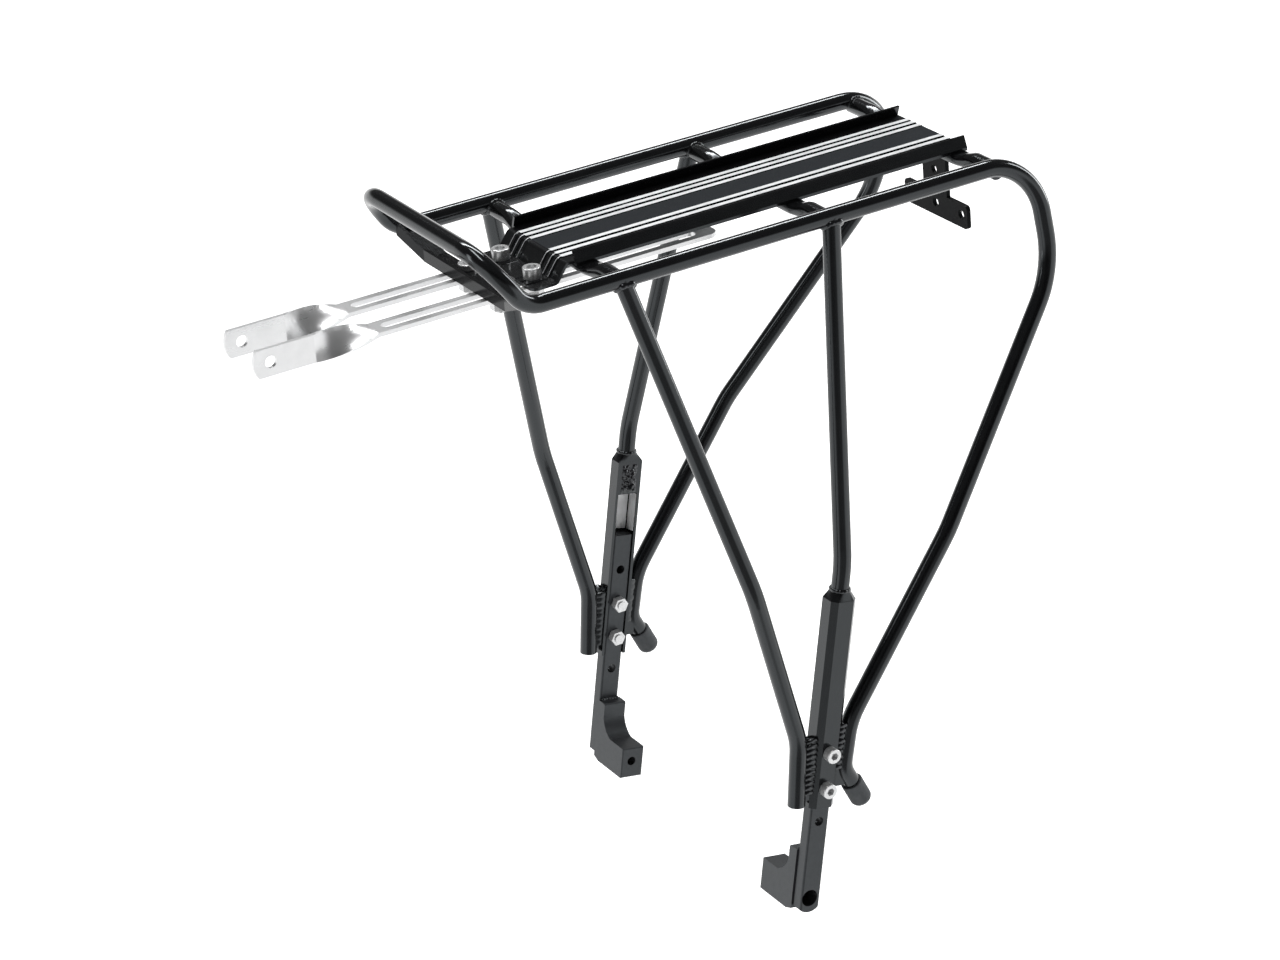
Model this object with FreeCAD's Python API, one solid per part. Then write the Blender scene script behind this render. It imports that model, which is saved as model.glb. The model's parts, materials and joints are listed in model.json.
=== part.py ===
"""Bicycle rear rack: tubular frame with an extruded deck, two slotted stays and two telescopic feet.

Units are millimetres.  +X points to the rear of the bicycle, -Y to its left side and +Z up.
The numbers below are measured from a point 1.1 mm below the centre of the deck's top face.  At the end everything is
moved so that the origin is the middle of the line through the two foot eyes.
"""
import math
import os

import FreeCAD
import Part

V = FreeCAD.Vector

# ---------------------------------------------------------------- driving dimensions
TUBE_R = 5.0                # outside radius of every round tube
TUBE_WALL = 1.0
RAIL_Y = 72.0               # side rails: distance of each centreline from the middle
RAIL_Z = 1.2                # height of the rail centrelines above the drawing's level
RAIL_FRONT_X = -150.0       # where the front loop takes over from a rail
RAIL_REAR_X = 110.5         # where the rear bend takes over

LOOP_KNEE_X = -175.8        # front loop: bend where it starts to rise
LOOP_TOP_X = -195.6
LOOP_TOP_Z = 30.9
LOOP_KNEE_R = 18.0
LOOP_CORNER_R = 25.5

REAR_X = 142.5              # rear bend: most rearward centreline position
REAR_TOP_R = 32.0
REAR_LOW_R = 62.0
REAR_LOW_DROP = 62.0        # drop of the second rear bend below the rail
LEG_SPLAY = 0.2374          # sideways spread per millimetre of drop
STAY_KNEE = V(46.0, 115.4, -180.7)      # rear stay: start of its upright plane
STAY_FOOT = V(-25.0, 116.0, -273.8)     # rear stay: where it meets the leg channel
HOOK_KNEE = V(-31.4, 116.0, -301.6)
HOOK_END = V(-21.2, 116.0, -324.0)

MID_TOP_X = 11.0
MID_KNEE = V(-22.0, 114.6, -178.8)
FRONT_TOP_X = -119.0
FRONT_KNEE = V(-79.5, 116.0, -178.5)
FRONT_ANKLE = V(-58.0, 115.2, -277.0)
FRONT_END = V(-62.4, 115.2, -315.1)

LEG_LEAN = 11.0             # degrees the leg channels lean forward going down
LEG_SHIFT = 0.6             # channel, bar and screws sit this far behind the foot eye's line
CHANNEL_X = -25.85          # centre of the channel's top end
CHANNEL_Z = -198.8
CHANNEL_W = 16.2            # channel size along the bicycle
CHANNEL_OUT = 121.3         # outer face, distance from the middle
CHANNEL_IN = 109.8          # open inner face
CHANNEL_WEB = 2.7
CHANNEL_BEVEL = 3.2         # bevel along the outer corners
CHANNEL_LEN = 122.5
CHANNEL_PLUG = 20.0         # solid upper end below the shoulder
CHANNEL_HEAD = 6.0          # tapered shoulder up to the middle leg

BAR_W = 12.4
BAR_OUT = 118.3
BAR_IN = 110.3
BAR_TOP = 46.5              # distances down the leg from the channel's top end
BAR_BOTTOM = 187.5
HOLE_PITCH = 21.2
HOLE_FIRST = 68.3
LEG_HOLE_R = 2.7

EYE_S = 178.8               # foot eye, distance down the leg
EYE_R = 2.75
EYE_SEAT = 87.0             # the counterbore ends here, distance from the middle
COUNTERBORE_R = 5.0
BLOCK_FRONT = -6.5
BLOCK_REAR = 8.0
BLOCK_BOTTOM = 189.3
BLOCK_END = 78.0            # inner face of the foot, distance from the middle

DECK_FRONT = -125.0
DECK_REAR = 125.0
DECK_OUT = 35.2             # outer face of the lips
DECK_TOP = 1.1              # top of the raised lands
DECK_GROOVE = 0.6           # floor between the lands
DECK_UNDER = -0.9
LIP_FOOT = -1.5
LIP_TOP = 6.5
TAB_BEND_X = -129.0         # the floor turns down here
TAB_CREASE_X = -136.0       # and level again here
TAB_FRONT = -150.6
TAB_TOP = -8.25
TAB_Y = 32.0

CROSS_TOP = LIP_FOOT        # cross tubes where they are pressed flat
CROSS_H = 5.0
CROSS_W = 13.0
CROSS_X = (-117.0, 11.0, 119.0)

STAY_Y = 17.3
STAY_W = 15.5
STAY_T = 2.5
STAY_Z = -11.8              # centre of the strip's thickness
STAY_REAR = -31.0
STAY_TWIST_REAR = -238.0
STAY_TWIST_FRONT = -272.0
STAY_EYE_X = -297.2
STAY_NOSE = 9.8             # from the eye's centre to the rounded front end
SLOT_W = 6.4
SLOT_REAR = -42.0
SLOT_FRONT = -233.0
STAY_EYE_R = 3.3

TAB_BOLT_X = -142.5
BRACKET_BOLT_X = -163.0
BOLT_R = 3.0                # M6 screws through the stays
LEG_BOLT_R = 2.5            # M5 screws through the leg channels
GAP = 0.3                   # space between a sliding strip and what clamps it


# ---------------------------------------------------------------- helpers
def mirrored(shape):
    """Copy of a left-side shape on the right side."""
    return shape.mirror(V(0, 0, 0), V(0, 1, 0))


def left(point):
    """Point given with a positive side distance, placed on the left side."""
    return V(point.x, -point.y, point.z)


def path_wire(points, radii):
    """Wire of straight runs joined by tangent arcs, one radius per inner point."""
    edges = []
    start = points[0]
    for i, radius in enumerate(radii):
        corner = points[i + 1]
        back = (points[i] - corner).normalize()
        ahead = (points[i + 2] - corner).normalize()
        half = back.getAngle(ahead) / 2
        reach = radius / math.tan(half)
        first = corner + back * reach
        last = corner + ahead * reach
        bisector = (back + ahead).normalize()
        middle = corner + bisector * (radius / math.sin(half) - radius)
        if (first - start).Length > 1e-3:
            edges.append(Part.LineSegment(start, first).toShape())
        edges.append(Part.Arc(first, middle, last).toShape())
        start = last
    edges.append(Part.LineSegment(start, points[-1]).toShape())
    return Part.Wire(edges)


def rod(points, radii, radius):
    """Solid round bar along a bent path."""
    wire = path_wire(points, radii)
    direction = (points[1] - points[0]).normalize()
    circle = Part.Wire(Part.makeCircle(radius, points[0], direction))
    return wire.makePipeShell([circle], True, False)


def tube(points, radii):
    """Round tube along a bent path, open at both ends."""
    inner = rod(points, radii, TUBE_R - TUBE_WALL)
    return rod(points, radii, TUBE_R).cut(inner)


def box(x0, x1, y0, y1, z0, z1):
    return Part.makeBox(x1 - x0, y1 - y0, z1 - z0, V(x0, y0, z0))


def extrude_yz(points, x0, x1):
    """Prism along X from a closed outline of (y, z) points."""
    outline = Part.makePolygon([V(x0, y, z) for y, z in points + points[:1]])
    return Part.Face(outline).extrude(V(x1 - x0, 0, 0))


def cylinder(radius, base, direction, length):
    return Part.makeCylinder(radius, length, base, direction)


def hexagon(across, base, direction, length):
    """Hexagonal prism standing on base, across its flats."""
    corner = across / math.sqrt(3)
    side = V(0, 1, 0) if abs(direction.y) < 0.5 else V(1, 0, 0)
    other = direction.cross(side)
    points = []
    for k in range(7):
        angle = math.radians(60 * k)
        points.append(base + side * (corner * math.cos(angle)) + other * (corner * math.sin(angle)))
    return Part.Face(Part.makePolygon(points)).extrude(direction * length)


def lean(shape, shift=0.0):
    """Move a shape drawn upright at the leg's top end into the leaning leg."""
    moved = shape.translated(V(shift, 0, 0))
    moved.rotate(V(0, 0, 0), V(0, 1, 0), LEG_LEAN)
    moved.translate(V(CHANNEL_X, 0, CHANNEL_Z))
    return moved


def leg_point(x, y, s):
    """Point in the leaning leg: x across, y sideways, s down from its top end."""
    a = math.radians(LEG_LEAN)
    return V(CHANNEL_X + x * math.cos(a) - s * math.sin(a), y, CHANNEL_Z - x * math.sin(a) - s * math.cos(a))


def rounded_rect(centre, half_x, half_z, radius, y):
    """Closed wire of a rounded rectangle in a plane of constant y."""
    cx, cz = centre
    edges = []
    arcs = [(1, 1, 0), (-1, 1, 90), (-1, -1, 180), (1, -1, 270)]
    ends = []
    for sx, sz, start in arcs:
        mid = V(cx + sx * (half_x - radius), y, cz + sz * (half_z - radius))
        spots = []
        for turn in (0, 45, 90):
            angle = math.radians(start + turn)
            spots.append(mid + V(math.cos(angle), 0, math.sin(angle)) * radius)
        edges.append(Part.Arc(*spots).toShape())
        ends.append((spots[0], spots[2]))
    wire_edges = []
    for i, arc in enumerate(edges):
        wire_edges.append(arc)
        wire_edges.append(Part.LineSegment(ends[i][1], ends[(i + 1) % 4][0]).toShape())
    return Part.Wire(wire_edges)


def largest(shape):
    """Biggest solid of a cut's result."""
    return max(shape.Solids, key=lambda solid: solid.Volume)


def screw(position, direction, radius, head_r, head_h, length, socket):
    """Socket-head screw; direction points from the head to the tip."""
    head = cylinder(head_r, position - direction * head_h, direction, head_h)
    rim = [e for e in head.Edges if e.Length > 6 * head_r]
    top = [e for e in rim if (e.CenterOfMass - (position - direction * head_h)).Length < 0.01]
    head = head.makeFillet(0.5, top)
    body = head.fuse(cylinder(radius, position, direction, length))
    recess = hexagon(socket, position - direction * (head_h + 0.1), direction, head_h * 0.6)
    return body.cut(recess)


def nut(position, direction, radius, across, height):
    """Hexagon nut with rounded crown; position is its bearing face."""
    body = hexagon(across, position, direction, height)
    wide = across * 0.76
    cone = Part.makeCone(wide, across * 0.45, across * 0.31, position + direction * (height - 1.2), direction)
    body = body.common(cylinder(wide, position, direction, height - 1.2).fuse(cone))
    return body.cut(cylinder(radius + 0.05, position - direction, direction, height + 2))


def washer(position, direction, height):
    body = cylinder(6.0, position, direction, height)
    return body.cut(cylinder(BOLT_R + 0.15, position - direction, direction, height + 2))


# ---------------------------------------------------------------- rails, loop and rear stays
def rail():
    points = [V(RAIL_FRONT_X, -RAIL_Y, RAIL_Z), V(RAIL_REAR_X, -RAIL_Y, RAIL_Z)]
    return tube(points, [])


def loop_points():
    return [
        V(RAIL_FRONT_X, -RAIL_Y, RAIL_Z),
        V(LOOP_KNEE_X, -RAIL_Y, RAIL_Z),
        V(LOOP_TOP_X, -RAIL_Y, LOOP_TOP_Z),
        V(LOOP_TOP_X, RAIL_Y, LOOP_TOP_Z),
        V(LOOP_KNEE_X, RAIL_Y, RAIL_Z),
        V(RAIL_FRONT_X, RAIL_Y, RAIL_Z),
    ]


LOOP_RADII = [LOOP_KNEE_R, LOOP_CORNER_R, LOOP_CORNER_R, LOOP_KNEE_R]


def rear_stay_points():
    low_y = RAIL_Y + LEG_SPLAY * REAR_LOW_DROP
    return [
        V(RAIL_REAR_X, -RAIL_Y, RAIL_Z),
        V(REAR_X, -RAIL_Y, RAIL_Z),
        V(REAR_X, -low_y, RAIL_Z - REAR_LOW_DROP),
        left(STAY_KNEE),
        left(STAY_FOOT),
        left(HOOK_KNEE),
        left(HOOK_END),
    ]


REAR_STAY_RADII = [REAR_TOP_R - 0.5, REAR_LOW_R, 60.0, 40.0, 14.0]


def hook_cap():
    """Rubber cap over the hook, closed by a domed end."""
    along = (HOOK_END - HOOK_KNEE).normalize()
    end = left(HOOK_END)
    base = end - along * 13.0
    body = cylinder(6.2, base, along, 16.5)
    rims = [e for e in body.Edges if (e.CenterOfMass - (base + along * 16.5)).Length < 0.01]
    body = body.makeFillet(4.0, rims)
    lips = [e for e in body.Edges if (e.CenterOfMass - base).Length < 0.01]
    body = body.makeFillet(0.5, lips)
    return body.cut(cylinder(TUBE_R, base - along, along, 14.0))


# ---------------------------------------------------------------- legs
def front_leg():
    points = [V(FRONT_TOP_X, -RAIL_Y, RAIL_Z), left(FRONT_KNEE), left(FRONT_ANKLE), left(FRONT_END)]
    radii = [60.0, 40.0]
    along = (left(FRONT_END) - left(FRONT_ANKLE)).normalize()
    end_plug = cylinder(TUBE_R - TUBE_WALL, left(FRONT_END) - along * 2.0, along, 2.0)
    return tube(points, radii).fuse(end_plug)


def mid_leg():
    top = leg_point(0, -MID_KNEE.y, -CHANNEL_HEAD)
    points = [V(MID_TOP_X, -RAIL_Y, RAIL_Z), left(MID_KNEE), top]
    return tube(points, [60.0])


def leg_channel():
    """C-shaped leg, open inwards, with a tapered shoulder and a filled upper end."""
    half = CHANNEL_W / 2
    body = box(-half, half, -CHANNEL_OUT, -CHANNEL_IN, -CHANNEL_LEN, 0)
    corners = []
    for edge in body.Edges:
        upright = abs(edge.tangentAt(edge.FirstParameter).z) > 0.9
        if upright and edge.CenterOfMass.y < -CHANNEL_OUT + 0.1:
            corners.append(edge)
    body = body.makeChamfer(CHANNEL_BEVEL, corners)
    inside = BAR_W / 2 + 0.2
    hollow_out = CHANNEL_OUT - CHANNEL_WEB
    hollow = box(-inside, inside, -hollow_out, -CHANNEL_IN + 1, -CHANNEL_LEN - 1, -CHANNEL_PLUG)
    inner = []
    for edge in hollow.Edges:
        upright = abs(edge.tangentAt(edge.FirstParameter).z) > 0.9
        if upright and edge.CenterOfMass.y < -hollow_out + 0.1:
            inner.append(edge)
    body = body.cut(hollow.makeChamfer(0.9, inner))
    inward = half - CHANNEL_BEVEL
    low = Part.makePolygon([
        V(-half, -CHANNEL_IN, 0), V(half, -CHANNEL_IN, 0), V(half, -CHANNEL_OUT + CHANNEL_BEVEL, 0),
        V(inward, -CHANNEL_OUT, 0), V(-inward, -CHANNEL_OUT, 0),
        V(-half, -CHANNEL_OUT + CHANNEL_BEVEL, 0), V(-half, -CHANNEL_IN, 0),
    ])
    high = Part.Wire(Part.makeCircle(TUBE_R, V(-LEG_SHIFT, -MID_KNEE.y, CHANNEL_HEAD), V(0, 0, 1)))
    body = body.fuse(Part.makeLoft([low, high], True))
    for k in (1, 2):
        z = -(HOLE_FIRST + k * HOLE_PITCH)
        body = body.cut(cylinder(LEG_BOLT_R + 0.1, V(0, -CHANNEL_OUT - 1, z), V(0, 1, 0), 6))
    return lean(body, LEG_SHIFT)


def gusset(x0, x1, top, bottom):
    """Weld web that ties a tube to the side of the leg channel."""
    plate = box(x0, x1, -118.0, -112.0, -bottom, -top)
    return lean(plate, LEG_SHIFT)


def foot_bar():
    half = BAR_W / 2
    body = box(-half, half, -BAR_OUT, -BAR_IN, -BAR_BOTTOM, -BAR_TOP)
    uprights = []
    for edge in body.Edges:
        if abs(edge.tangentAt(edge.FirstParameter).z) > 0.9:
            uprights.append(edge)
    body = body.makeFillet(1.2, uprights)
    eye = V(-LEG_SHIFT, -BAR_OUT - 6, -EYE_S)
    cutter = box(-20, 20, -BAR_OUT - 5, -BAR_IN + 5, -BAR_BOTTOM - 20, -EYE_S)
    body = body.cut(cutter.cut(cylinder(BAR_BOTTOM - EYE_S, eye, V(0, 1, 0), 20)))
    for k in range(4):
        z = -(HOLE_FIRST + k * HOLE_PITCH)
        body = body.cut(cylinder(LEG_HOLE_R, V(0, -BAR_OUT - 1, z), V(0, 1, 0), 12))
    body = body.cut(cylinder(COUNTERBORE_R, eye, V(0, 1, 0), 18))
    return lean(body, LEG_SHIFT)


def foot_block():
    """Spacer that carries the eye inwards to the bicycle frame."""
    s_top = 151.5
    arc_mid = (-99.5, -166.6)
    points = [
        V(BLOCK_FRONT, -BAR_IN, -s_top),
        V(BLOCK_FRONT, -103.8, -s_top),
        V(BLOCK_FRONT, -103.0, -s_top - 0.8),
        V(BLOCK_FRONT, -103.0, -160.5),
        V(BLOCK_FRONT, -93.5, -170.5),
        V(BLOCK_FRONT, -BLOCK_END, -170.5),
        V(BLOCK_FRONT, -BLOCK_END, -BLOCK_BOTTOM),
        V(BLOCK_FRONT, -BAR_IN + 5.0, -BLOCK_BOTTOM),
        V(BLOCK_FRONT, -BAR_IN, -BAR_BOTTOM),
    ]
    edges = []
    for i in range(len(points)):
        a = points[i]
        b = points[(i + 1) % len(points)]
        if i == 3:
            edges.append(Part.Arc(a, V(BLOCK_FRONT, arc_mid[0], arc_mid[1]), b).toShape())
        else:
            edges.append(Part.LineSegment(a, b).toShape())
    body = Part.Face(Part.Wire(edges)).extrude(V(BLOCK_REAR - BLOCK_FRONT, 0, 0))
    ends = [e for e in body.Edges if abs(e.CenterOfMass.y + BLOCK_END) < 0.01]
    body = body.makeChamfer(0.6, ends)
    body = body.cut(cylinder(EYE_R, V(0, -BAR_OUT, -EYE_S), V(0, 1, 0), 60))
    length = BAR_OUT - EYE_SEAT
    body = body.cut(cylinder(COUNTERBORE_R, V(0, -BAR_OUT, -EYE_S), V(0, 1, 0), length))
    return lean(body)


def leg_bolts():
    """Heads with the part of each shank inside the channel's wall, and the thread ends in the nuts."""
    parts = []
    for k in (1, 2):
        seat = leg_point(LEG_SHIFT, -CHANNEL_OUT, HOLE_FIRST + k * HOLE_PITCH)
        parts.append(screw(seat, V(0, 1, 0), LEG_BOLT_R, 4.3, 5.0, CHANNEL_WEB, 4.0))
        tip = leg_point(LEG_SHIFT, -BAR_IN + GAP, HOLE_FIRST + k * HOLE_PITCH)
        parts.append(cylinder(LEG_BOLT_R, tip, V(0, 1, 0), 5.5))
    return Part.makeCompound(parts)


def leg_nuts():
    parts = []
    for k in (1, 2):
        seat = leg_point(LEG_SHIFT, -BAR_IN + GAP, HOLE_FIRST + k * HOLE_PITCH)
        parts.append(nut(seat, V(0, 1, 0), LEG_BOLT_R, 8.0, 4.6))
    return Part.makeCompound(parts)


# ---------------------------------------------------------------- deck and cross tubes
def land_profile(side_y):
    """Top outline of the floor from the middle out to side_y: centre panel, lands and grooves."""
    return [
        (0.0, DECK_TOP - 0.3), (8.8, DECK_TOP - 0.3), (9.2, DECK_TOP), (12.6, DECK_TOP),
        (13.0, DECK_GROOVE), (14.7, DECK_GROOVE), (15.1, DECK_TOP), (18.5, DECK_TOP),
        (18.9, DECK_GROOVE), (20.2, DECK_GROOVE), (20.6, DECK_TOP), (24.0, DECK_TOP),
        (24.4, DECK_GROOVE), (side_y, DECK_GROOVE),
    ]


def deck_plate():
    """Extruded track with two inward leaning lips; its floor runs on as a tab bent down in front."""
    half = land_profile(33.4) + [
        (31.2, 6.1), (31.5, LIP_TOP), (32.7, LIP_TOP), (DECK_OUT, 0.2), (DECK_OUT, LIP_FOOT),
        (33.0, LIP_FOOT), (33.0, DECK_UNDER), (0.0, DECK_UNDER),
    ]
    outline = half[:-1] + [(-y, z) for y, z in reversed(half[1:-1])]
    body = extrude_yz(outline, DECK_FRONT, DECK_REAR)
    half = land_profile(TAB_Y) + [(TAB_Y, DECK_UNDER), (0.0, DECK_UNDER)]
    outline = half[:-1] + [(-y, z) for y, z in reversed(half[1:-1])]
    section = Part.makePolygon([V(DECK_FRONT, y, z) for y, z in outline + outline[:1]])
    middle = (DECK_TOP + DECK_UNDER) / 2
    drop = DECK_TOP - TAB_TOP
    path = path_wire([
        V(DECK_FRONT, 0, middle), V(TAB_BEND_X, 0, middle),
        V(TAB_CREASE_X, 0, middle - drop), V(TAB_FRONT, 0, middle - drop),
    ], [3.5, 2.5])
    tab = path.makePipeShell([section], True, False)
    fronts = []
    for edge in tab.Edges:
        upright = abs(edge.tangentAt(edge.FirstParameter).z) > 0.9
        outermost = abs(edge.CenterOfMass.y) > TAB_Y - 0.1
        if upright and outermost and abs(edge.CenterOfMass.x - TAB_FRONT) < 0.01:
            fronts.append(edge)
    tab = tab.makeFillet(4.0, fronts)
    body = body.fuse(tab).removeSplitter()
    for side_y in (-STAY_Y, STAY_Y):
        body = body.cut(cylinder(BOLT_R + 0.2, V(TAB_BOLT_X, side_y, -20), V(0, 0, 1), 30))
    return body


def cross_tube(x):
    """Cross tube: pressed flat under the deck, easing to round on the way to the rails."""
    flat_z = CROSS_TOP - CROSS_H / 2
    end_z = RAIL_Z - 3.0
    flat_y = 36.0
    round_y = 54.0
    body = cylinder(TUBE_R, V(x, -RAIL_Y, end_z), V(0, 1, 0), RAIL_Y - round_y)
    body = body.fuse(cylinder(TUBE_R, V(x, round_y, end_z), V(0, 1, 0), RAIL_Y - round_y))
    for sign in (-1, 1):
        sections = []
        for k in range(7):
            ease = (1 - math.cos(math.pi * k / 6)) / 2
            half_x = CROSS_W / 2 + (TUBE_R - CROSS_W / 2) * ease
            half_z = CROSS_H / 2 + (TUBE_R - CROSS_H / 2) * ease
            centre = (x, flat_z + (end_z - flat_z) * ease)
            y = sign * (flat_y + (round_y - flat_y) * k / 6)
            sections.append(rounded_rect(centre, half_x, half_z, min(half_x, half_z) - 0.1, y))
        body = body.fuse(Part.makeLoft(sections, True))
    ends = [rounded_rect((x, flat_z), CROSS_W / 2, CROSS_H / 2, CROSS_H / 2 - 0.1, y) for y in (-flat_y, flat_y)]
    return body.fuse(Part.makeLoft(ends, True))


# ---------------------------------------------------------------- brackets
def bracket_section(x, y, z, web, lip):
    """Closed L-shaped outline across the loop bracket: base with its front edge turned up."""
    depth = 13.5
    return Part.makePolygon([
        V(x, y, z), V(x + depth, y, z), V(x + depth, y, z + web), V(x + web, y, z + web),
        V(x + web, y, z + lip), V(x, y, z + lip), V(x, y, z),
    ])


def loop_bracket():
    """Formed strip under the front loop that the stays are bolted to."""
    x0 = -174.5
    web = 2.0
    lip = 7.05
    run = 45.0
    low = STAY_Z + STAY_T / 2 + GAP
    body = Part.makeLoft([bracket_section(x0, y, low, web, lip) for y in (-run, run)], True, True)
    for sign in (-1, 1):
        inner = bracket_section(x0, sign * run, low, web, lip)
        outer = bracket_section(x0 - 4.0, sign * 68.0, low + 9.6, web, lip)
        body = body.fuse(Part.makeLoft([inner, outer], True, True))
    for side_y in (-STAY_Y, STAY_Y):
        body = body.fuse(cylinder(7.0, V(BRACKET_BOLT_X, side_y, low), V(0, 0, 1), web))
    body = body.removeSplitter()
    for side_y in (-STAY_Y, STAY_Y):
        body = body.cut(cylinder(BOLT_R + 0.2, V(BRACKET_BOLT_X, side_y, -20), V(0, 0, 1), 15))
    return body


def light_bracket(x_front):
    """Flat plate behind the deck with a lamp hole pair and two middle holes."""
    t = 2.5
    plate = box(x_front, x_front + t, -11.5, 11.5, -42.0, -2.0)
    bar = box(x_front, x_front + t, -31.0, 31.0, -50.8, -36.8)
    rounding = [e for e in bar.Edges if abs(e.tangentAt(e.FirstParameter).x) > 0.9]
    bar = bar.makeFillet(2.5, rounding)
    body = plate.fuse(bar).removeSplitter()
    holes = [(0.0, -22.9, 2.6), (0.0, -42.9, 2.75), (-25.0, -42.9, 2.75), (25.0, -42.9, 2.75)]
    for y, z, r in holes:
        body = body.cut(cylinder(r, V(x_front - 1, y, z), V(1, 0, 0), t + 2))
    return body


# ---------------------------------------------------------------- stays
def stay():
    """Slotted strip, twisted a quarter turn before its eye."""
    half = STAY_W / 2
    flat = box(STAY_TWIST_REAR, STAY_REAR, -half, half, -STAY_T / 2, STAY_T / 2)
    rear = []
    for edge in flat.Edges:
        upright = abs(edge.tangentAt(edge.FirstParameter).z) > 0.9
        if upright and abs(edge.CenterOfMass.x - STAY_REAR) < 0.01:
            rear.append(edge)
    flat = flat.makeFillet(5.5, rear)
    slot = box(SLOT_FRONT + SLOT_W / 2, SLOT_REAR - SLOT_W / 2, -SLOT_W / 2, SLOT_W / 2, -5, 5)
    for end_x in (SLOT_FRONT + SLOT_W / 2, SLOT_REAR - SLOT_W / 2):
        slot = slot.fuse(cylinder(SLOT_W / 2, V(end_x, 0, -5), V(0, 0, 1), 10))
    flat = flat.cut(slot)
    sections = []
    steps = 8
    for k in range(steps + 1):
        x = STAY_TWIST_REAR + (STAY_TWIST_FRONT - STAY_TWIST_REAR) * k / steps
        angle = math.radians(90.0 * k / steps)
        corners = []
        for a, b in ((half, STAY_T / 2), (-half, STAY_T / 2), (-half, -STAY_T / 2), (half, -STAY_T / 2)):
            y = a * math.cos(angle) - b * math.sin(angle)
            z = a * math.sin(angle) + b * math.cos(angle)
            corners.append(V(x, y, z))
        sections.append(Part.makePolygon(corners + corners[:1]))
    twist = Part.makeLoft(sections, True)
    nose = STAY_EYE_X - STAY_NOSE
    tip = box(nose - 5, STAY_TWIST_FRONT, -STAY_T / 2, STAY_T / 2, -half, half)
    tip = tip.common(cylinder(14.0, V(nose + 14.0, -5, 0), V(0, 1, 0), 10).fuse(box(nose + 14, 0, -5, 5, -20, 20)))
    tip = tip.cut(cylinder(STAY_EYE_R, V(STAY_EYE_X, -5, 0), V(0, 1, 0), 10))
    body = flat.fuse(twist).fuse(tip)
    body.translate(V(0, -STAY_Y, STAY_Z))
    return body


# ---------------------------------------------------------------- assembly
def build():
    nodes = {}
    loop_solid = rod(loop_points(), LOOP_RADII, TUBE_R)
    stay_solid = rod(rear_stay_points(), REAR_STAY_RADII, TUBE_R)
    rail_points = [V(RAIL_FRONT_X, -RAIL_Y, RAIL_Z), V(RAIL_REAR_X, -RAIL_Y, RAIL_Z)]
    rail_solid = rod(rail_points, [], TUBE_R)
    both_rails = rail_solid.fuse(mirrored(rail_solid))

    nodes["left_rail"] = rail()
    nodes["front_loop"] = tube(loop_points(), LOOP_RADII)
    nodes["left_rear_stay"] = tube(rear_stay_points(), REAR_STAY_RADII)
    nodes["left_front_leg"] = largest(front_leg().cut(rail_solid))
    nodes["left_mid_leg"] = largest(mid_leg().cut(rail_solid))
    nodes["left_leg_channel"] = leg_channel()
    half = CHANNEL_W / 2
    front_web = gusset(-half - 6.0, -half, 84.0, 118.0)
    rear_web = gusset(half, half + 6.0, 78.0, 112.0)
    front_points = [V(FRONT_TOP_X, -RAIL_Y, RAIL_Z), left(FRONT_KNEE), left(FRONT_ANKLE), left(FRONT_END)]
    front_solid = rod(front_points, [60.0, 40.0], TUBE_R)
    nodes["left_front_web"] = min(front_web.cut(front_solid).Solids, key=lambda s: -s.CenterOfMass.x)
    nodes["left_rear_web"] = min(rear_web.cut(stay_solid).Solids, key=lambda s: s.CenterOfMass.x)
    nodes["left_foot_bar"] = foot_bar()
    nodes["left_foot_block"] = foot_block()
    nodes["left_hook_cap"] = hook_cap()
    nodes["left_leg_bolts"] = leg_bolts()
    nodes["left_leg_nuts"] = leg_nuts()
    nodes["left_stay"] = stay()

    for name in [n for n in nodes if n.startswith("left_")]:
        nodes["right_" + name[5:]] = mirrored(nodes[name])
    nodes["right_stay"] = nodes["left_stay"].translated(V(0, 2 * STAY_Y, 0))

    nodes["deck_plate"] = deck_plate()
    mid_solid = rod([V(MID_TOP_X, -RAIL_Y, RAIL_Z), left(MID_KNEE)], [], TUBE_R)
    joined = {"front": front_solid, "mid": mid_solid, "rear": stay_solid}
    for (name, crossing), x in zip(joined.items(), CROSS_X):
        body = cross_tube(x).cut(crossing).cut(mirrored(crossing)).cut(both_rails)
        nodes[name + "_cross_tube"] = largest(body.cut(nodes["deck_plate"]))
    nodes["light_bracket"] = light_bracket(CROSS_X[2] + CROSS_W / 2)
    nodes["loop_bracket"] = largest(loop_bracket().cut(loop_solid).cut(both_rails))

    down = V(0, 0, -1)
    under = STAY_Z - STAY_T / 2 - GAP
    seat = STAY_Z + STAY_T / 2 + GAP + 2.0
    for name, x, head_h, socket in (("tab", TAB_BOLT_X, 6.0, 5.0), ("bracket", BRACKET_BOLT_X, 3.3, 4.0)):
        bolts = []
        washers = []
        nuts = []
        for side_y in (-STAY_Y, STAY_Y):
            tip = under - 8.6
            bolts.append(screw(V(x, side_y, seat), down, BOLT_R, 5.0, head_h, seat - tip, socket))
            washers.append(washer(V(x, side_y, under), down, 1.2))
            nuts.append(nut(V(x, side_y, under - 1.2), down, BOLT_R, 10.0, 5.6))
        nodes[name + "_bolts"] = Part.makeCompound(bolts)
        nodes[name + "_washers"] = Part.makeCompound(washers)
        nodes[name + "_nuts"] = Part.makeCompound(nuts)
    return nodes


os.makedirs("parts", exist_ok=True)
for node_name, node_shape in build().items():
    solids = node_shape.Solids
    result = solids[0] if len(solids) == 1 else Part.makeCompound(solids)
    result.translate(-leg_point(0, 0, EYE_S))
    result.exportStep("parts/" + node_name + ".step")
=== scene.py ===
"""Bicycle rear rack: finishes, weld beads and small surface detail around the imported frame.

Metres, +X to the rear of the bicycle, -Y to its left side, +Z up.
"""
import json
import math
import random

import bmesh
import bpy
from mathutils import Matrix, Vector
from mathutils import noise as field


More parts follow.
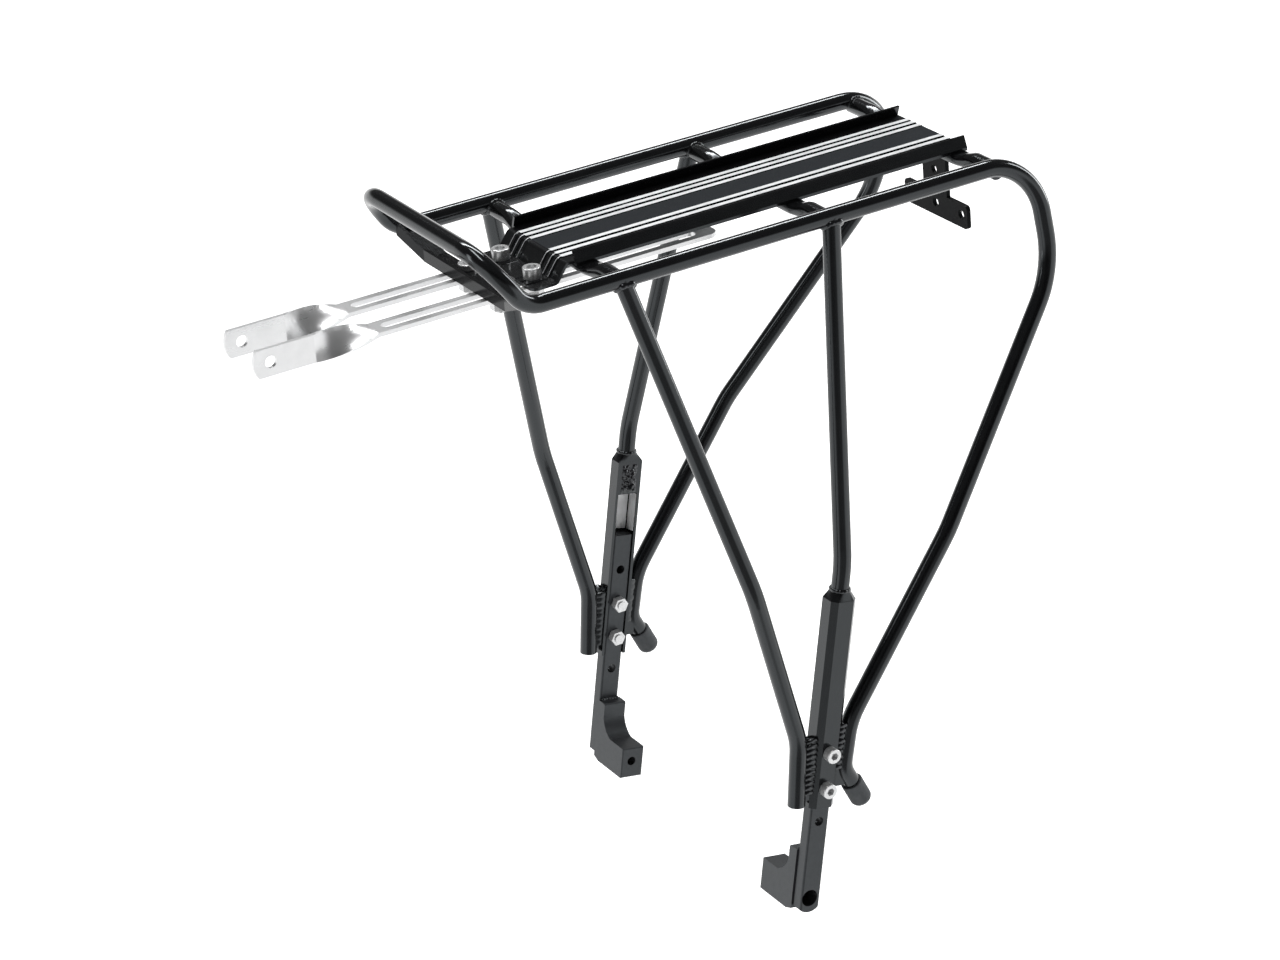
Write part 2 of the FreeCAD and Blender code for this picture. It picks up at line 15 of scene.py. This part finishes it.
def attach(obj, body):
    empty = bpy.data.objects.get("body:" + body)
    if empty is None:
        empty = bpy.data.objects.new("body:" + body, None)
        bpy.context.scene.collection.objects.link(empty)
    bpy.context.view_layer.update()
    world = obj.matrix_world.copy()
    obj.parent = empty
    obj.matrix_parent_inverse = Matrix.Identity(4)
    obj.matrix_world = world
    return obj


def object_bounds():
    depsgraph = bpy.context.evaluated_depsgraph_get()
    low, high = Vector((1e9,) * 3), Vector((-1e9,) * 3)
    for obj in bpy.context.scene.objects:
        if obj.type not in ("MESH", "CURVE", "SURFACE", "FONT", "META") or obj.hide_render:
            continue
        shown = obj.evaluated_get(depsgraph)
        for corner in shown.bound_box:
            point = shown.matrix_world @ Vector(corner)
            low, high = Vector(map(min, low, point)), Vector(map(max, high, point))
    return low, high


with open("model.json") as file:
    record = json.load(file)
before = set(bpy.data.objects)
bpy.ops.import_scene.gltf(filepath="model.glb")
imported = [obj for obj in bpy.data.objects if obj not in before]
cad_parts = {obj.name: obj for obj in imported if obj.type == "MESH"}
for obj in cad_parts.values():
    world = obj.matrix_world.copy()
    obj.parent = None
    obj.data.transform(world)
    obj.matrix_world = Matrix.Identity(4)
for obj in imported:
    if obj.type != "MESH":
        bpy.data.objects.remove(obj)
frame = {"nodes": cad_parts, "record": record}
CAD_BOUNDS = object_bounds()
NODES = frame["nodes"]
MM = 0.001
SIDES = (("left", -1.0), ("right", 1.0))


# ---------------------------------------------------------------- materials
def new_material(name):
    mat = bpy.data.materials.new(name)
    mat.use_nodes = True
    shader = mat.node_tree.nodes["Principled BSDF"]
    return mat, mat.node_tree, shader


def noise(tree, scale, detail=2.0, stretch=None):
    """Noise texture in object space, sized in features per metre."""
    coords = tree.nodes.new("ShaderNodeTexCoord")
    source = coords.outputs["Object"]
    if stretch:
        mapping = tree.nodes.new("ShaderNodeMapping")
        mapping.inputs["Scale"].default_value = stretch
        tree.links.new(source, mapping.inputs["Vector"])
        source = mapping.outputs["Vector"]
    node = tree.nodes.new("ShaderNodeTexNoise")
    node.inputs["Scale"].default_value = scale
    node.inputs["Detail"].default_value = detail
    tree.links.new(source, node.inputs["Vector"])
    return node.outputs["Fac"]


def spread(tree, value, low, high):
    """Map noise, which mostly lies between 0.25 and 0.75, onto low..high."""
    node = tree.nodes.new("ShaderNodeMapRange")
    node.inputs["From Min"].default_value = 0.25
    node.inputs["From Max"].default_value = 0.75
    node.inputs["To Min"].default_value = low
    node.inputs["To Max"].default_value = high
    tree.links.new(value, node.inputs["Value"])
    return node.outputs["Result"]


def blend_colours(tree, value, dark, light):
    node = tree.nodes.new("ShaderNodeMix")
    node.data_type = "RGBA"
    node.inputs["A"].default_value = (*dark, 1.0)
    node.inputs["B"].default_value = (*light, 1.0)
    tree.links.new(value, node.inputs["Factor"])
    return node.outputs["Result"]


def add_bump(tree, shader, value, strength, distance):
    node = tree.nodes.new("ShaderNodeBump")
    node.inputs["Strength"].default_value = strength
    node.inputs["Distance"].default_value = distance
    tree.links.new(value, node.inputs["Height"])
    tree.links.new(node.outputs["Normal"], shader.inputs["Normal"])


COAT_ROUGHNESS = 0.04
COOL_TINT = (0.86, 0.95, 1.0, 1.0)
NO_TINT = (1.0, 1.0, 1.0, 1.0)


def surface(name, dark, light, rough, grain, bump, metallic=0.0, coat=0.0, stretch=None, specular=0.5):
    """Procedural finish: colour and roughness wander with the grain, which also gives the bump.

    rough is the lowest and highest roughness, grain the features per metre, and bump the strength
    and the height in millimetres. Black finishes reflect slightly cool.
    """
    mat, tree, shader = new_material(name)
    wander = noise(tree, grain / 6.0, 3.0)
    fine = noise(tree, grain, 3.0, stretch)
    colour = blend_colours(tree, spread(tree, wander, 0.0, 1.0), dark, light)
    tree.links.new(colour, shader.inputs["Base Color"])
    tree.links.new(spread(tree, fine, *rough), shader.inputs["Roughness"])
    shader.inputs["Metallic"].default_value = metallic
    shader.inputs["Coat Weight"].default_value = coat
    shader.inputs["Specular IOR Level"].default_value = specular
    shader.inputs["Specular Tint"].default_value = COOL_TINT if metallic == 0.0 else NO_TINT
    shader.inputs["Coat Roughness"].default_value = COAT_ROUGHNESS
    add_bump(tree, shader, fine, bump[0], bump[1] * MM)
    return mat


BLACK = surface("gloss_black", (0.004, 0.004, 0.0045), (0.007, 0.007, 0.0075), (0.13, 0.19),
                700.0, (0.08, 0.02), coat=0.25)
WELD = surface("weld_black", (0.004, 0.004, 0.0045), (0.009, 0.009, 0.0095), (0.12, 0.22),
               1600.0, (0.3, 0.06), coat=0.4)
DECK = surface("deck_black", (0.004, 0.004, 0.0045), (0.007, 0.007, 0.0075), (0.14, 0.2),
               400.0, (0.04, 0.01), coat=0.2, stretch=(0.2, 1.0, 0.2))
PANEL = surface("panel_grey", (0.008, 0.01, 0.013), (0.011, 0.0135, 0.017), (0.5, 0.64),
                1500.0, (0.3, 0.03), specular=0.1)
# silver of the flat lands, also used for the painted highlights on the ridges over the tab
SILVER_AND_PAINTED_GLINT = surface("ridge_silver_and_painted_glint", (0.7, 0.71, 0.72), (0.82, 0.83, 0.84), (0.34, 0.5),
                 1400.0, (0.3, 0.02), metallic=0.75, stretch=(0.08, 1.0, 1.0))
FOOT = surface("foot_satin", (0.024, 0.025, 0.027), (0.032, 0.033, 0.036), (0.34, 0.48),
               1800.0, (0.25, 0.03), coat=0.1)
RUBBER = surface("cap_rubber", (0.045, 0.047, 0.049), (0.065, 0.067, 0.07), (0.6, 0.76),
                 2200.0, (0.4, 0.05))
STAINLESS = surface("stainless", (0.78, 0.785, 0.79), (0.84, 0.845, 0.85), (0.27, 0.3),
                    900.0, (0.02, 0.005), metallic=0.8, stretch=(0.06, 1.0, 1.0))
SCREW = surface("bright_screw", (0.66, 0.665, 0.67), (0.8, 0.805, 0.81), (0.2, 0.3),
                2400.0, (0.25, 0.02), metallic=0.65)
BRACKET = surface("bracket_black", (0.003, 0.003, 0.0035), (0.006, 0.006, 0.0065), (0.34, 0.5),
                  2600.0, (0.45, 0.05), specular=0.06)
# light grey, mostly matte finish for the skin over the channel's hollow
PALE_HOLLOW = surface("pale_hollow_grey", (0.62, 0.625, 0.63), (0.9, 0.905, 0.91), (0.4, 0.6),
               500.0, (0.4, 0.05), metallic=0.2, stretch=(0.3, 1.0, 1.0))
FORMED = surface("formed_black", (0.004, 0.004, 0.0045), (0.007, 0.007, 0.0075), (0.16, 0.24),
                 900.0, (0.12, 0.03), specular=0.16)

BY_SLOT = {
    "black_tube": BLACK,
    "deck_black": DECK,
    "foot_anodised": FOOT,
    "cap_rubber": RUBBER,
    "stainless_strip": STAINLESS,
    "bright_screw": SCREW,
    "bracket_black": BRACKET,
}
for part in frame["record"]["subparts"]:
    node = NODES[part["node"]]
    node.data.materials.clear()
    finish = FORMED if part["node"] == "loop_bracket" else BY_SLOT[part["material_slot"]]
    node.data.materials.append(finish)


# ---------------------------------------------------------------- stage, light and camera
FLOOR_REACH = 30.0
FLOOR_DROP = 0.16            # the floor's distance below the object, so that it catches no shadow
WHITE = (1.0, 1.0, 1.0, 1.0)
VIEWER_SIDE = (-0.372, -0.928, 0.0)
VIEWER_EDGE = (0.69, 0.86)   # cosine of the angle to the viewer's side where the surroundings darken
VIEWER_GLOW = 0.22
RISE_EDGE = (0.02, 0.3)      # how far up a direction points where the surroundings darken
LOW_GLOW = 1.5
HIGH_GLOW = 0.1
CAMERA_AZIMUTH = -28.424
CAMERA_ELEVATION = 25.283
CAMERA_ROLL = -5.083
CAMERA_LENS = 110.23
CAMERA_SENSOR = 36.0
CAMERA_POSITION = (-0.95492, -1.7282, 1.14912)
MIDDLE = (0.0, 0.0, 0.25)


def area_light(name, position, target, size, power):
    data = bpy.data.lights.new(name, "AREA")
    data.shape = "RECTANGLE"
    data.size = size[0]
    data.size_y = size[1]
    data.energy = power
    lamp = bpy.data.objects.new(name, data)
    bpy.context.scene.collection.objects.link(lamp)
    lamp.location = position
    lamp.rotation_mode = "QUATERNION"
    lamp.rotation_quaternion = (Vector(target) - Vector(position)).to_track_quat("-Z", "Y")
    return lamp


def make_floor():
    mesh = bpy.data.meshes.new("floor")
    build = bmesh.new()
    level = CAD_BOUNDS[0].z - FLOOR_DROP
    corners = ((-1, -1), (1, -1), (1, 1), (-1, 1))
    build.faces.new([build.verts.new((x * FLOOR_REACH, y * FLOOR_REACH, level)) for x, y in corners])
    build.to_mesh(mesh)
    build.free()
    floor = bpy.data.objects.new("floor", mesh)
    bpy.context.scene.collection.objects.link(floor)
    mat, tree, shader = new_material("floor_white")
    grain = noise(tree, 3.0, 2.0)
    colour = blend_colours(tree, grain, (0.9, 0.9, 0.9), (0.93, 0.93, 0.93))
    tree.links.new(colour, shader.inputs["Base Color"])
    shader.inputs["Roughness"].default_value = 0.9
    shader.inputs["Specular IOR Level"].default_value = 0.0
    shader.inputs["Emission Color"].default_value = WHITE
    shader.inputs["Emission Strength"].default_value = 0.75
    floor.data.materials.append(mat)
    floor.visible_glossy = False


def ramp_value(tree, value, edge, low, high):
    """Smooth step from low to high as the value crosses the edge."""
    node = tree.nodes.new("ShaderNodeMapRange")
    node.interpolation_type = "SMOOTHSTEP"
    node.inputs["From Min"].default_value = edge[0]
    node.inputs["From Max"].default_value = edge[1]
    node.inputs["To Min"].default_value = low
    node.inputs["To Max"].default_value = high
    tree.links.new(value, node.inputs["Value"])
    return node.outputs["Result"]


def make_world():
    """Bright surroundings below eye level except on the viewer's side, and dark above.

    Camera rays see plain white instead.
    """
    world = bpy.data.worlds.new("studio")
    bpy.context.scene.world = world
    world.use_nodes = True
    tree = world.node_tree
    tree.nodes.clear()
    out = tree.nodes.new("ShaderNodeOutputWorld")
    coords = tree.nodes.new("ShaderNodeTexCoord")
    split = tree.nodes.new("ShaderNodeSeparateXYZ")
    tree.links.new(coords.outputs["Generated"], split.inputs["Vector"])
    ahead = tree.nodes.new("ShaderNodeVectorMath")
    ahead.operation = "DOT_PRODUCT"
    tree.links.new(coords.outputs["Generated"], ahead.inputs[0])
    ahead.inputs[1].default_value = VIEWER_SIDE
    around = ramp_value(tree, ahead.outputs["Value"], VIEWER_EDGE, 1.0, VIEWER_GLOW)
    rising = ramp_value(tree, split.outputs["Z"], RISE_EDGE, LOW_GLOW, HIGH_GLOW)
    both = tree.nodes.new("ShaderNodeMath")
    both.operation = "MULTIPLY"
    tree.links.new(around, both.inputs[0])
    tree.links.new(rising, both.inputs[1])
    seen = tree.nodes.new("ShaderNodeBackground")
    seen.inputs["Color"].default_value = WHITE
    seen.inputs["Strength"].default_value = 1.0
    lit = tree.nodes.new("ShaderNodeBackground")
    tree.links.new(both.outputs["Value"], lit.inputs["Strength"])
    path = tree.nodes.new("ShaderNodeLightPath")
    mix = tree.nodes.new("ShaderNodeMixShader")
    tree.links.new(path.outputs["Is Camera Ray"], mix.inputs["Fac"])
    tree.links.new(lit.outputs["Background"], mix.inputs[1])
    tree.links.new(seen.outputs["Background"], mix.inputs[2])
    tree.links.new(mix.outputs["Shader"], out.inputs["Surface"])


def make_camera():
    azimuth, elevation, roll = (math.radians(v) for v in (CAMERA_AZIMUTH, CAMERA_ELEVATION, CAMERA_ROLL))
    back = Vector((math.sin(azimuth) * math.cos(elevation),
                   -math.cos(azimuth) * math.cos(elevation), math.sin(elevation)))
    right = (-back).cross(Vector((0, 0, 1))).normalized()
    up = right.cross(-back)
    across = right * math.cos(roll) + up * math.sin(roll)
    upward = up * math.cos(roll) - right * math.sin(roll)
    data = bpy.data.cameras.new("camera")
    data.lens = CAMERA_LENS
    data.sensor_width = CAMERA_SENSOR
    data.clip_start = 0.1
    data.clip_end = 100.0
    camera = bpy.data.objects.new("camera", data)
    bpy.context.scene.collection.objects.link(camera)
    turn = Matrix((across, upward, back)).transposed().to_4x4()
    camera.matrix_world = Matrix.Translation(Vector(CAMERA_POSITION)) @ turn
    bpy.context.scene.camera = camera


bpy.context.scene.view_settings.view_transform = "Standard"
make_floor()
make_world()
make_camera()
area_light("high_rear", (0.76, 1.41, 2.25), MIDDLE, (2.0, 0.32), 40.0)
area_light("overhead", (-0.3, 0.1, 2.5), MIDDLE, (1.4, 0.35), 16.0)
area_light("right_side", (2.3, -0.15, 0.9), MIDDLE, (0.5, 1.6), 22.0)
area_light("left_side", (-2.1, 0.5, 1.0), MIDDLE, (0.35, 1.3), 5.0)


# ---------------------------------------------------------------- geometry helpers
# Millimetres in the part's drawing; DRAWING_ORIGIN is that drawing's origin in the frame.
DRAWING_ORIGIN = Vector((59.967, 0.0, 374.315))
TUBE_R = 5.0
RAIL_Y = 72.0
RAIL_Z = 1.2
RAIL_REAR_X = 110.5          # where the rail starts to bend down
REAR_BEND_R = 32.0
FRONT_LEG = ((-119.0, RAIL_Y, RAIL_Z), (-79.5, 116.0, -178.5))
MID_LEG = ((11.0, RAIL_Y, RAIL_Z), (-22.0, 114.6, -178.8))
CROSS_X = (-117.0, 11.0, 119.0)
CROSS_DROP = 3.0             # how far the cross tubes' ends lie below the rails
CHANNEL_TOP = (-25.85, -198.8)
CHANNEL_SHIFT = 0.6
CHANNEL_LEAN = math.radians(11.0)
CHANNEL_SIDE = 8.1
FRONT_TUBE = ((-58.0, -277.0), (-62.4, -315.1), TUBE_R)
REAR_TUBE = ((-25.0, -273.8), (-31.4, -301.6), -TUBE_R)


def place(point):
    """Drawing millimetres to metres in the frame."""
    return (Vector(point) + DRAWING_ORIGIN) * MM


def add_piece(name, build, material, body="frame", smooth=True):
    """Turn a bmesh into a piece of its own, riding on a body."""
    mesh = bpy.data.meshes.new(name)
    bmesh.ops.recalc_face_normals(build, faces=build.faces[:])
    build.to_mesh(mesh)
    build.free()
    mesh.materials.append(material)
    for face in mesh.polygons:
        face.use_smooth = smooth
    piece = bpy.data.objects.new(name, mesh)
    bpy.context.scene.collection.objects.link(piece)
    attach(piece, body)
    return piece


def resample(points, step, closed=False):
    """Evenly spaced points along a polyline, with the distance travelled."""
    if closed:
        points = points + points[:1]
    lengths = [0.0]
    for a, b in zip(points, points[1:]):
        lengths.append(lengths[-1] + (b - a).length)
    count = max(3, int(lengths[-1] / step))
    result = []
    k = 0
    for i in range(count + (0 if closed else 1)):
        want = lengths[-1] * i / count
        while k < len(points) - 2 and lengths[k + 1] < want:
            k += 1
        span = max(lengths[k + 1] - lengths[k], 1e-9)
        result.append((points[k].lerp(points[k + 1], (want - lengths[k]) / span), want))
    return result, lengths[-1]


RINGS_PER_DROP = 7.0
RING_SIDES = 12
END_TAPER = 0.55


def bead(build, points, radius, pitch, closed=False, depth=0.2, seed=1, face=None, bow=0.0, width=1.0):
    """Weld bead: a swept round whose radius ripples like overlapping drops, in millimetres.

    depth is the ripple's share of the radius. With a facing direction the drops bow back along the
    seam and may be wider than they are high.
    """
    rng = random.Random(seed)
    steps, total = resample(points, pitch / RINGS_PER_DROP, closed)
    drops = max(2, int(round(total / pitch)))
    sizes = [rng.uniform(0.92, 1.08) for _ in range(drops + 1)]
    rings = []
    side = None
    for i, (spot, gone) in enumerate(steps):
        after = steps[(i + 1) % len(steps)][0] if (closed or i + 1 < len(steps)) else spot
        before = steps[i - 1][0] if (closed or i > 0) else spot
        along = (after - before).normalized()
        if side is None:
            side = along.orthogonal().normalized()
        side = (side - along * side.dot(along)).normalized()
        other = along.cross(side)
        phase = gone / total * drops
        drop = phase - math.floor(phase)
        ripple = 1.0 - depth + depth * math.sin(math.pi * drop) ** 0.6
        size = radius * ripple * sizes[min(int(phase), drops)]
        if not closed and (i == 0 or i == len(steps) - 1):
            size *= END_TAPER
        ring = []
        for k in range(RING_SIDES):
            angle = 2 * math.pi * k / RING_SIDES
            radial = side * math.cos(angle) + other * math.sin(angle)
            if face is not None:
                outward = radial.dot(face)
                lag = along * (bow * max(outward, 0.0) / size)
                radial = radial * width + face * outward * (1.0 - width) - lag
            ring.append(build.verts.new(place(spot + radial * size)))
        rings.append(ring)
    pairs = list(zip(rings, rings[1:]))
    if closed:
        turn = min(range(RING_SIDES), key=lambda k: (rings[0][k].co - rings[-1][0].co).length)
        pairs.append((rings[-1], rings[0][turn:] + rings[0][:turn]))
    for low, high in pairs:
        for k in range(RING_SIDES):
            n = (k + 1) % RING_SIDES
            build.faces.new((low[k], low[n], high[n], high[k]))
    if not closed:
        build.faces.new(list(reversed(rings[0])))
        build.faces.new(rings[-1])


def saddle(top, toward, sign):
    """Seam round a tube where it leaves the side rail: points on both tubes' surfaces."""
    along = (toward - top).normalized()
    u = along.orthogonal().normalized()
    v = along.cross(u)
    points = []
    count = 48
    for i in range(count):
        angle = math.radians(360.0 * i / count)
        base = top + (u * math.cos(angle) + v * math.sin(angle)) * TUBE_R
        dy = base.y - sign * RAIL_Y
        dz = base.z - RAIL_Z
        a = along.y ** 2 + along.z ** 2
        b = 2 * (along.y * dy + along.z * dz)
        c = dy * dy + dz * dz - TUBE_R ** 2
        root = max(b * b - 4 * a * c, 0.0)
        points.append(base + along * ((-b + math.sqrt(root)) / (2 * a)))
    return points


def leg_point(x, y, s):
    """Point in the leaning leg channel: across, sideways, and down from its top end."""
    top_x, top_z = CHANNEL_TOP
    sine = math.sin(CHANNEL_LEAN)
    cosine = math.cos(CHANNEL_LEAN)
    x += CHANNEL_SHIFT
    return Vector((top_x + x * cosine - s * sine, y, top_z - x * sine - s * cosine))


# ---------------------------------------------------------------- weld beads
def across_side(point, sign):
    """The same point on the left or right side."""
    x, y, z = point
    return Vector((x, sign * y, z))


def cross_seam(x, sign):
    """Seam over a cross tube's round end, on the rail's inner side."""
    seam = []
    for i in range(33):
        angle = math.radians(180.0 * i / 32)
        across = x + TUBE_R * math.cos(angle)
        bend = max(across - RAIL_REAR_X, 0.0)
        z = RAIL_Z - CROSS_DROP + TUBE_R * math.sin(angle)
        below = z - RAIL_Z + REAR_BEND_R - math.sqrt(REAR_BEND_R ** 2 - bend ** 2)
        inward = math.sqrt(max(TUBE_R ** 2 - below ** 2, 0.0))
        seam.append(Vector((across, sign * (RAIL_Y - inward), z)))
    return seam


def rail_welds(side, sign):
    """Beads where the legs and the cross tubes meet the rail."""
    build = bmesh.new()
    highest = RAIL_Z - 2.2
    for (top, toward), seed in ((FRONT_LEG, 3), (MID_LEG, 4)):
        seam = saddle(across_side(top, sign), across_side(toward, sign), sign)
        for spot in seam:
            spot.z = min(spot.z, highest)
        bead(build, seam, 1.7, 2.6, closed=True, depth=0.12, seed=seed)
    for k, x in enumerate(CROSS_X):
        bead(build, cross_seam(x, sign), 1.0, 2.0, depth=0.12, seed=10 + k)
    add_piece(side + "_rail_welds", build, WELD)


def seam_beside_channel(sign, edge_x, tube, s0, s1):
    """Line halfway between the channel's side and a tube's side, where the web is."""
    line = []
    (x0, z0), (x1, z1), radius = tube
    for i in range(13):
        edge = leg_point(edge_x, sign * 117.2, s0 + (s1 - s0) * i / 12)
        tube_x = x0 + (x1 - x0) * (z0 - edge.z) / (z0 - z1) + radius
        line.append(Vector(((edge.x + tube_x) / 2, sign * 117.2, edge.z)))
    return line


def skin_patch(build, corners, back):
    """Thin plate over four corners, its thickness given by a vector."""
    top = [build.verts.new(place(c)) for c in corners]
    low = [build.verts.new(place(c + back)) for c in corners]
    build.faces.new(top)
    build.faces.new(list(reversed(low)))
    for k in range(4):
        n = (k + 1) % 4
        build.faces.new((top[k], low[k], low[n], top[n]))


PLUG_COLUMNS = 24
PLUG_ROWS = 44
PLUG_LEFT = -5.6
PLUG_WIDTH = 11.2
PLUG_FACE = 110.2
PLUG_START = 1.0
PLUG_LENGTH = 19.2


def plug_rise(across, down):
    """Height of the plug's skin: two sizes of lump, falling to nothing at its rim."""
    rim = min(1.0, 5.0 * min(across, 1.0 - across, down, 1.0 - down))
    lump = 0.5 + 0.6 * field.noise(Vector((across * 4.0, down * 6.5, 4.7)))
    lump += 0.9 * field.noise(Vector((across * 9.0, down * 15.0, 1.3)))
    return rim * (0.5 + 1.7 * lump)


def rough_plug(build, sign):
    """Weld that fills the channel's upper end: an uneven skin of run-together drops."""
    rows = []
    for j in range(PLUG_ROWS + 1):
        row = []
        for i in range(PLUG_COLUMNS + 1):
            across = i / PLUG_COLUMNS
            down = j / PLUG_ROWS
            y = sign * (PLUG_FACE - plug_rise(across, down))
            spot = leg_point(PLUG_LEFT + PLUG_WIDTH * across, y, PLUG_START + PLUG_LENGTH * down)
            row.append(build.verts.new(place(spot)))
        rows.append(row)
    for low, high in zip(rows, rows[1:]):
        for i in range(PLUG_COLUMNS):
            build.faces.new((low[i], low[i + 1], high[i + 1], high[i]))
    edge = rows[0] + [row[-1] for row in rows[1:]] + rows[-1][-2::-1] + [row[0] for row in rows[-2:0:-1]]
    hidden = [build.verts.new(vert.co + Vector((0.0, sign * MM, 0.0))) for vert in edge]
    for k, vert in enumerate(edge):
        n = (k + 1) % len(edge)
        build.faces.new((vert, edge[n], hidden[n], hidden[k]))
    build.faces.new(hidden)


def channel_welds(side, sign):
    """Beads and plug of the leg channel, with the round collar at its top."""
    build = bmesh.new()
    outward = Vector((0.0, sign, 0.0))
    front = seam_beside_channel(sign, -CHANNEL_SIDE, FRONT_TUBE, 82.0, 117.0)
    rear = seam_beside_channel(sign, CHANNEL_SIDE, REAR_TUBE, 76.0, 104.0)
    bead(build, front, 3.0, 3.1, depth=0.32, seed=21, face=outward, bow=3.0, width=1.75)
    bead(build, rear, 2.8, 3.1, depth=0.32, seed=22, face=outward, bow=2.8, width=1.5)
    for seam, seed, shift in ((front, 23, 1.4), (rear, 24, -1.4)):
        back = [Vector((p.x + shift, sign * 112.6, p.z)) for p in seam]
        bead(build, back, 1.8, 3.4, depth=0.12, seed=seed, face=-outward, bow=0.5, width=3.1)
    rough_plug(build, sign)
    collar = []
    for i in range(24):
        angle = 2 * math.pi * i / 24
        x = TUBE_R * math.cos(angle) - CHANNEL_SHIFT
        y = sign * 114.6 + TUBE_R * math.sin(angle)
        collar.append(leg_point(x, y, -5.4))
    bead(build, collar, 1.25, 2.2, closed=True, depth=0.25, seed=25)
    add_piece(side + "_channel_welds", build, WELD)


def pale_hollow_skin(side, sign):
    """Light grey skin over the channel's hollow above the foot bar: its floor and its rear wall."""
    build = bmesh.new()
    web = sign * 118.45
    corners = ((-5.4, 20.6), (6.2, 20.6), (6.2, 45.4), (-5.4, 44.4))
    skin_patch(build, [leg_point(x, web, s) for x, s in corners], Vector((0.0, sign * 0.2, 0.0)))
    wall = 6.25
    corners = ((118.4, 20.6), (110.4, 21.2), (110.7, 44.6), (118.4, 45.4))
    skin_patch(build, [leg_point(wall, sign * y, s) for y, s in corners], Vector((0.2, 0.0, 0.0)))
    add_piece(side + "_pale_hollow_skin", build, PALE_HOLLOW, smooth=False)


def foot_weld(side, sign):
    """Bead between foot bar and foot block."""
    build = bmesh.new()
    y = sign * 109.7
    s = 151.6
    bead(build, [leg_point(-5.4, y, s), leg_point(6.0, y, s)], 1.4, 2.0, depth=0.25, seed=26)
    add_piece(side + "_foot_weld", build, FOOT, side + "_foot")


for side, sign in SIDES:
    rail_welds(side, sign)
    channel_welds(side, sign)
    pale_hollow_skin(side, sign)
    foot_weld(side, sign)


# ---------------------------------------------------------------- deck finish
DECK_TOP = 1.1
DECK_REAR_X = 124.9
TAB_BEND_X = -127.25
TAB_BEND_R = 4.5
TAB_CREASE = (-137.25, -6.75)
TAB_CREASE_R = 1.5
TAB_SLOPE = 53.18
TAB_FRONT = (-150.5, -8.25)
BEND_STEPS = 8
CREASE_STEPS = 6
FLAT_POINTS = 5              # points of the deck's path that lie on its flat part
PAINTED_GLINT_POINTS = 11            # points that the narrow painted-highlight skins follow beyond the flat part
RIDGES = (10.9, 16.8, 22.3)
RIDGE_HALF = 1.6
RIDGE_LIFT = 0.06
PAINTED_GLINT_SIDE = 0.6
PAINTED_GLINT_HALF = 0.28
PANEL_HALF = 8.7
PANEL_LIFT = -0.24
SKIN = 0.12


def deck_path():
    """Top line of the deck from its rear end over the bend to the tab's front edge: (x, z)."""
    line = [(x, DECK_TOP) for x in (DECK_REAR_X, 60.0, 0.0, -60.0, TAB_BEND_X)]
    centre_z = DECK_TOP - TAB_BEND_R
    for i in range(1, BEND_STEPS + 1):
        angle = math.radians(90.0 + TAB_SLOPE * i / BEND_STEPS)
        line.append((TAB_BEND_X + TAB_BEND_R * math.cos(angle), centre_z + TAB_BEND_R * math.sin(angle)))
    crease_x, crease_z = TAB_CREASE
    for i in range(CREASE_STEPS + 1):
        angle = math.radians(TAB_SLOPE - 90.0 - TAB_SLOPE * i / CREASE_STEPS)
        line.append((crease_x + TAB_CREASE_R * math.cos(angle), crease_z + TAB_CREASE_R * math.sin(angle)))
    line.append(TAB_FRONT)
    return line


def deck_band(name, y0, y1, lift, material, line):
    """Thin skin over part of the deck's top."""
    build = bmesh.new()
    rows = []
    for i, (x, z) in enumerate(line):
        before = line[max(i - 1, 0)]
        after = line[min(i + 1, len(line) - 1)]
        across = Vector((after[0] - before[0], after[1] - before[1])).normalized()
        up = Vector((across.y, -across.x))
        top = (x + up.x * lift, z + up.y * lift)
        low = (x + up.x * (lift - SKIN), z + up.y * (lift - SKIN))
        rows.append([build.verts.new(place((p[0], y, p[1]))) for p in (top, low) for y in (y0, y1)])
    for a, b in zip(rows, rows[1:]):
        for i, j in ((0, 1), (1, 3), (3, 2), (2, 0)):
            build.faces.new((a[i], a[j], b[j], b[i]))
    for row in (rows[0], rows[-1]):
        build.faces.new((row[0], row[1], row[3], row[2]))
    add_piece(name, build, material, smooth=False)


def deck_finish():
    """Silver skins on the ridges' flat part; narrower silver skins over the tab are painted highlights on
    the ridges; and the grey middle panel.
    """
    line = deck_path()
    flat = line[:FLAT_POINTS]
    tab = line[FLAT_POINTS - 1:FLAT_POINTS + PAINTED_GLINT_POINTS]
    for side, sign in SIDES:
        for k, middle in enumerate(RIDGES):
            y0, y1 = sorted((sign * (middle - RIDGE_HALF), sign * (middle + RIDGE_HALF)))
            deck_band("%s_land_%d" % (side, k + 1), y0, y1, RIDGE_LIFT, SILVER_AND_PAINTED_GLINT, flat)
            # over the bend and slope a narrow silver skin beside each ridge is a painted highlight,
            # standing in for the light its edge catches
            painted_glint_y = sign * (middle + PAINTED_GLINT_SIDE)
            name = "%s_ridge_%d" % (side, k + 1)
            deck_band(name, painted_glint_y - PAINTED_GLINT_HALF, painted_glint_y + PAINTED_GLINT_HALF, RIDGE_LIFT, SILVER_AND_PAINTED_GLINT, tab)
    deck_band("deck_panel", -PANEL_HALF, PANEL_HALF, PANEL_LIFT, PANEL, flat)


deck_finish()
